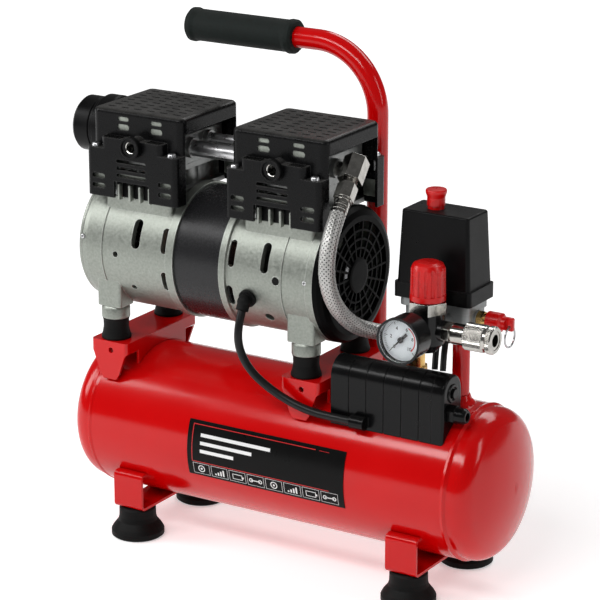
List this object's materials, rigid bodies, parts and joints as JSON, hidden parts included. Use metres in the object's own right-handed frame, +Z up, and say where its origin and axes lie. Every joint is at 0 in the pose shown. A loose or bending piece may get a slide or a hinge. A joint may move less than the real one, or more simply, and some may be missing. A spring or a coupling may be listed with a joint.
{
  "type": "oil-free air compressor",
  "caption": "Portable oil-free air compressor: horizontal tank, boxer-style electric pump with hooded heads, side handle, pressure switch, regulator and gauge.",
  "frame": {"origin": "floor level under the middle of the whole object", "axes": "+X along the tank towards the outlet, -Y the front with label and gauge, +Z up"},
  "size_m": [0.4517, 0.1848, 0.4744],
  "materials": {
    "red_paint": "gloss red enamel over welded sheet steel",
    "cast_alloy": "bead-blasted die casting",
    "machined_alloy": "machined",
    "lamination": "black-varnished laminated stack with bright edges",
    "copper_winding": "enamelled copper",
    "black_plastic": "moulded, fine sparkle grain",
    "box_plastic": "moulded, smooth satin",
    "black_rubber": "moulded, matt",
    "foam_grip": "closed-cell foam",
    "zinc_steel": "bright zinc plate",
    "nickel": "nickel-plated brass",
    "steel": "ground steel",
    "brass": "turned",
    "red_plastic": "moulded, gloss red",
    "grey_alloy": "grey sand-blasted casting",
    "gauge_black": "moulded, satin gloss",
    "dial_white": "white printed dial",
    "needle_black": "black lacquer",
    "clear_lens": "clear",
    "braid": "woven stainless wire",
    "cable_black": "matt cable sheath",
    "label_print": "black film with a thin red frame and outline icons"
  },
  "bodies": {
    "frame": {"bearings": "steel", "box_end_cap": "box_plastic", "braided_hose": "braid", "cable_gland": "box_plastic", "cable_grommet": "black_rubber", "capacitor_box": "box_plastic", "check_valve": "brass", "coupler_body": "nickel", "cover_screws": "zinc_steel", "crankcase_left": "cast_alloy", "crankcase_right": "cast_alloy", "cylinder_heads": "machined_alloy", "cylinders": "machined_alloy", "elbow_fitting": "nickel", "fan_cover": "black_plastic", "filter_cap": "black_plastic", "foot_screws": "zinc_steel", "foot_strap_left": "red_paint", "foot_strap_right": "red_paint", "gauge_case": "gauge_black", "gauge_dial": "dial_white", "gauge_lens": "clear_lens", "handle_grip": "foam_grip", "handle_tube": "red_paint", "head_cover_left": "black_plastic", "head_cover_right": "black_plastic", "hose_fittings": "nickel", "intake_filter": "black_plastic", "label": "label_print", "motor_bracket_left": "red_paint", "motor_bracket_right": "red_paint", "motor_cable": "cable_black", "mount_bolts": "zinc_steel", "port_plugs": "nickel", "regulator_body": "gauge_black", "regulator_nut": "nickel", "riser_pipe": "red_paint", "rubber_feet": "black_rubber", "rubber_mounts": "black_rubber", "safety_valve": "brass", "stator_core": "lamination", "stator_windings": "copper_winding", "switch_base": "grey_alloy", "switch_cable_front": "cable_black", "switch_cable_rear": "cable_black", "switch_cover": "black_plastic", "tank": "red_paint", "transfer_tubes": "machined_alloy", "valve_elbow": "nickel"},
    "crank": {"crankshaft": "steel", "rotor": "steel", "cooling_fan": "black_plastic"},
    "piston_left_body": {"piston_left": "machined_alloy"},
    "piston_right_body": {"piston_right": "machined_alloy"},
    "on_off": {"on_off_knob": "red_plastic"},
    "regulator": {"regulator_knob": "red_plastic"},
    "needle": {"gauge_needle": "needle_black"},
    "coupler": {"coupler_sleeve": "nickel"},
    "relief_cap": {"safety_cap": "red_plastic"},
    "relief_ring": {"pull_ring": "steel"}
  },
  "joints": [
    {"name": "crank_turn", "type": "hinge", "parent": "frame", "child": "crank", "pos_m": [0, 0.0025, 0.2705], "axis": [1, 0, 0], "continuous": true},
    {"name": "piston_left_stroke", "type": "slide", "parent": "frame", "child": "piston_left_body", "axis": [0, 0, 1], "range_m": [-0.004, 0.004]},
    {"name": "piston_right_stroke", "type": "slide", "parent": "frame", "child": "piston_right_body", "axis": [0, 0, 1], "range_m": [-0.004, 0.004]},
    {"name": "on_off_lift", "type": "slide", "parent": "frame", "child": "on_off", "axis": [0, 0, 1], "range_m": [0, 0.006]},
    {"name": "regulator_turn", "type": "hinge", "parent": "frame", "child": "regulator", "pos_m": [0.16, -0.0415, 0.29], "axis": [0, 0, 1], "range_deg": [-720, 720]},
    {"name": "gauge_reading", "type": "hinge", "parent": "frame", "child": "needle", "pos_m": [0.16, -0.0865, 0.252], "axis": [0, 1, 0], "range_deg": [0, 270], "stiffness_Nm_per_rad": 0.001},
    {"name": "coupler_release", "type": "slide", "parent": "frame", "child": "coupler", "axis": [-1, 0, 0], "range_m": [0, 0.0045], "stiffness_N_per_m": 800, "springref_m": -0.003},
    {"name": "relief_lift", "type": "slide", "parent": "frame", "child": "relief_cap", "axis": [1, 0, 0], "range_m": [0, 0.003], "stiffness_N_per_m": 1200, "springref_m": -0.002},
    {"name": "ring_swing", "type": "hinge", "parent": "relief_cap", "child": "relief_ring", "pos_m": [0.2161, 0.0025, 0.2486], "axis": [0, 1, 0], "range_deg": [-88, 55]}
  ]
}
